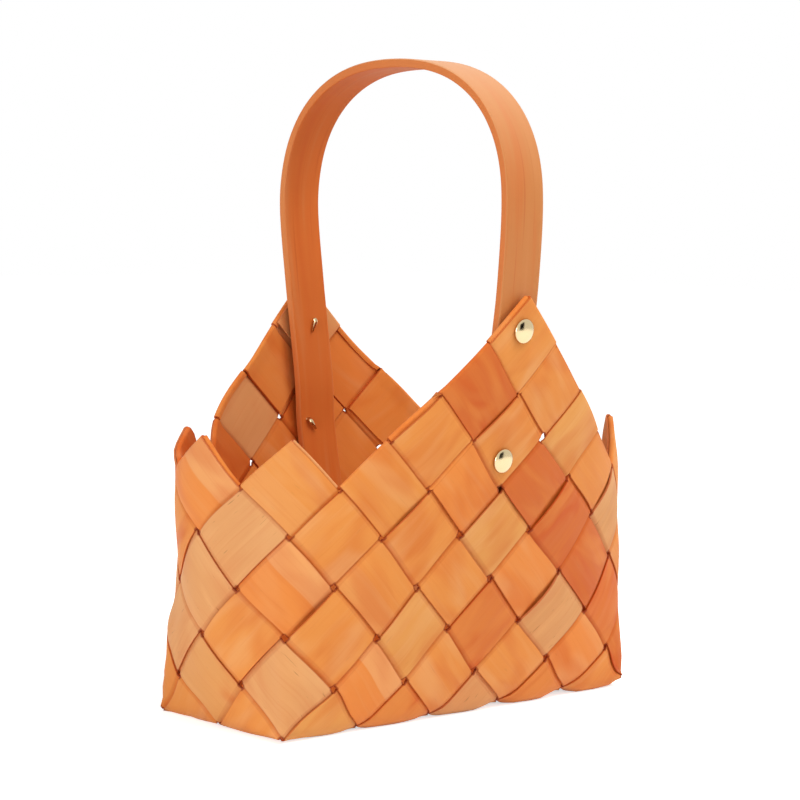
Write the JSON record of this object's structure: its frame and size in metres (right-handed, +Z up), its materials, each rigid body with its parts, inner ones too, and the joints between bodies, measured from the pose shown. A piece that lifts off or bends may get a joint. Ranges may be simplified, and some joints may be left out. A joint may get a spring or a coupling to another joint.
{
  "type": "woven bag",
  "caption": "Bias-plaited chip-wood hand bag with a toothed rim, two tall peaks and a bent-wood handle tacked inside them.",
  "frame": {"origin": "centre of the base on the surface the bag stands on", "axes": "+Z up, +X along the long side to the right seen from the front, +Y towards the back wall"},
  "size_m": [0.2394, 0.1533, 0.2877],
  "materials": {
    "chip_orange": "satin orange-dyed chip wood",
    "chip_pale": "satin pale orange chip wood",
    "chip_rust": "satin rust-dyed chip wood",
    "handle_wood": "satin orange-brown bent wood",
    "tack_brass": "polished"
  },
  "bodies": {
    "root": {"strip_a_1": "chip_orange", "strip_a_2": "chip_rust", "strip_a_3": "chip_pale", "strip_a_4": "chip_orange", "strip_a_5": "chip_orange", "strip_a_6": "chip_rust", "strip_a_7": "chip_orange", "strip_b_1": "chip_orange", "strip_b_2": "chip_orange", "strip_b_3": "chip_pale", "strip_b_4": "chip_pale", "strip_b_5": "chip_orange", "strip_b_6": "chip_orange", "strip_b_7": "chip_orange", "bent_handle": "handle_wood", "tack_front_upper": "tack_brass", "tack_front_lower": "tack_brass", "tack_back_upper": "tack_brass", "tack_back_lower": "tack_brass"}
  },
  "joints": []
}
